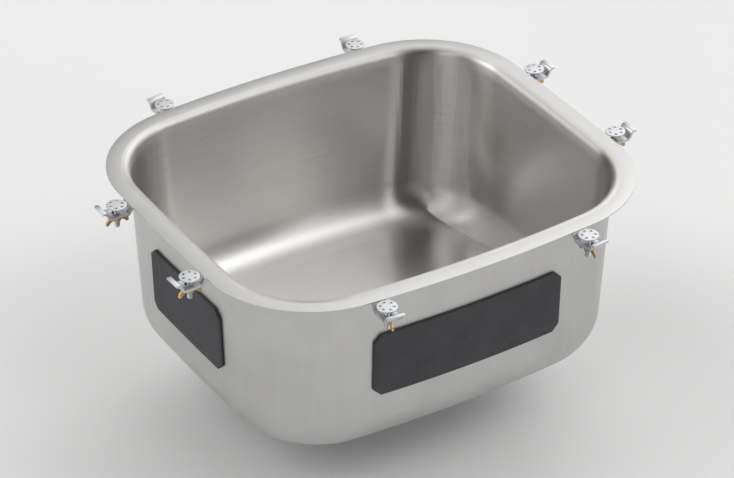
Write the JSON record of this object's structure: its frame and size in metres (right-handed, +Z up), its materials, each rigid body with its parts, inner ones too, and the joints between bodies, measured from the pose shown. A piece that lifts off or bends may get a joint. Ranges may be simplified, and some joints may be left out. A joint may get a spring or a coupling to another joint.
{
  "type": "undermount kitchen sink",
  "caption": "Single-bowl undermount sink in brushed stainless steel, with worktop clamps, sound pads and a basket strainer whose stopper pulls up.",
  "frame": {"origin": "centre of the bowl's opening, in the plane of the flange's top face, which is the worktop's underside", "axes": "+Z up, out of the bowl's mouth; +X along the long sides; the user stands at -Y"},
  "size_m": [0.574, 0.5046, 0.2908],
  "materials": {
    "bowl_steel": "satin, brushed along the long sides",
    "strainer_steel": "polished",
    "clamp_zinc": "zinc plated",
    "nut_brass": "as cast",
    "pad_rubber": "matt",
    "seal_rubber": "matt",
    "washer_fibre": "pressed fibre"
  },
  "bodies": {
    "root": {"back_sound_pad": "pad_rubber", "bottom_sound_pad": "pad_rubber", "bowl": "bowl_steel", "clamp_strap_back_left": "clamp_zinc", "clamp_strap_back_right": "clamp_zinc", "clamp_strap_front_left": "clamp_zinc", "clamp_strap_front_right": "clamp_zinc", "clamp_strap_left_back": "clamp_zinc", "clamp_strap_left_front": "clamp_zinc", "clamp_strap_right_back": "clamp_zinc", "clamp_strap_right_front": "clamp_zinc", "clamp_stud_back_left": "clamp_zinc", "clamp_stud_back_right": "clamp_zinc", "clamp_stud_front_left": "clamp_zinc", "clamp_stud_front_right": "clamp_zinc", "clamp_stud_left_back": "clamp_zinc", "clamp_stud_left_front": "clamp_zinc", "clamp_stud_right_back": "clamp_zinc", "clamp_stud_right_front": "clamp_zinc", "fibre_washer": "washer_fibre", "front_sound_pad": "pad_rubber", "left_sound_pad": "pad_rubber", "lock_nut": "clamp_zinc", "right_sound_pad": "pad_rubber", "rubber_washer": "seal_rubber", "strainer_body": "strainer_steel", "strainer_outlet": "strainer_steel", "strainer_seal": "seal_rubber", "wing_nut_back_left": "nut_brass", "wing_nut_back_right": "nut_brass", "wing_nut_front_left": "nut_brass", "wing_nut_front_right": "nut_brass", "wing_nut_left_back": "nut_brass", "wing_nut_left_front": "nut_brass", "wing_nut_right_back": "nut_brass", "wing_nut_right_front": "nut_brass"},
    "basket": {"basket_cup": "strainer_steel"},
    "stopper": {"stopper_stem": "strainer_steel", "stopper_knob": "strainer_steel", "rubber_stopper": "seal_rubber"}
  },
  "joints": [
    {"name": "basket_lift", "type": "slide", "parent": "root", "child": "basket", "axis": [0, 0, 1], "range_m": [0, 0.285]},
    {"name": "stopper_pull", "type": "slide", "parent": "basket", "child": "stopper", "axis": [0, 0, 1], "range_m": [0, 0.011]}
  ]
}
